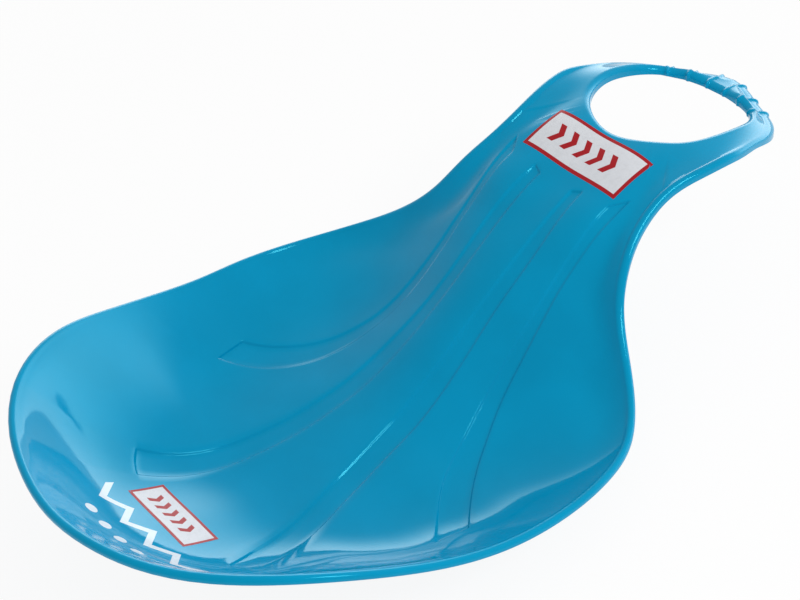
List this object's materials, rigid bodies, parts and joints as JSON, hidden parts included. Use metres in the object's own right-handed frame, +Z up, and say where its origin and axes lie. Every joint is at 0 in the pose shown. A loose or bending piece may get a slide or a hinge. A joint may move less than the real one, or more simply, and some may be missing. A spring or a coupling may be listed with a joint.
{
  "type": "shovel sled",
  "caption": "One-piece shovel sled: a pear-shaped pan with a raised front, a crowned neck and a ringed hand grip, on moulded runners",
  "frame": {"origin": "on the floor, under the middle of the sled's length and width", "axes": "+Z is up; +Y runs from the pan to the grip; +X is to the sled's right seen from the pan"},
  "size_m": [0.3672, 0.6246, 0.1364],
  "materials": {
    "cyan_polyethylene": "glossy moulded polyethylene with fine scuffs",
    "label_film": "printed self-adhesive film"
  },
  "bodies": {
    "root": {"sled_shell": "cyan_polyethylene", "neck_label": "label_film", "front_label": "label_film"}
  },
  "joints": []
}
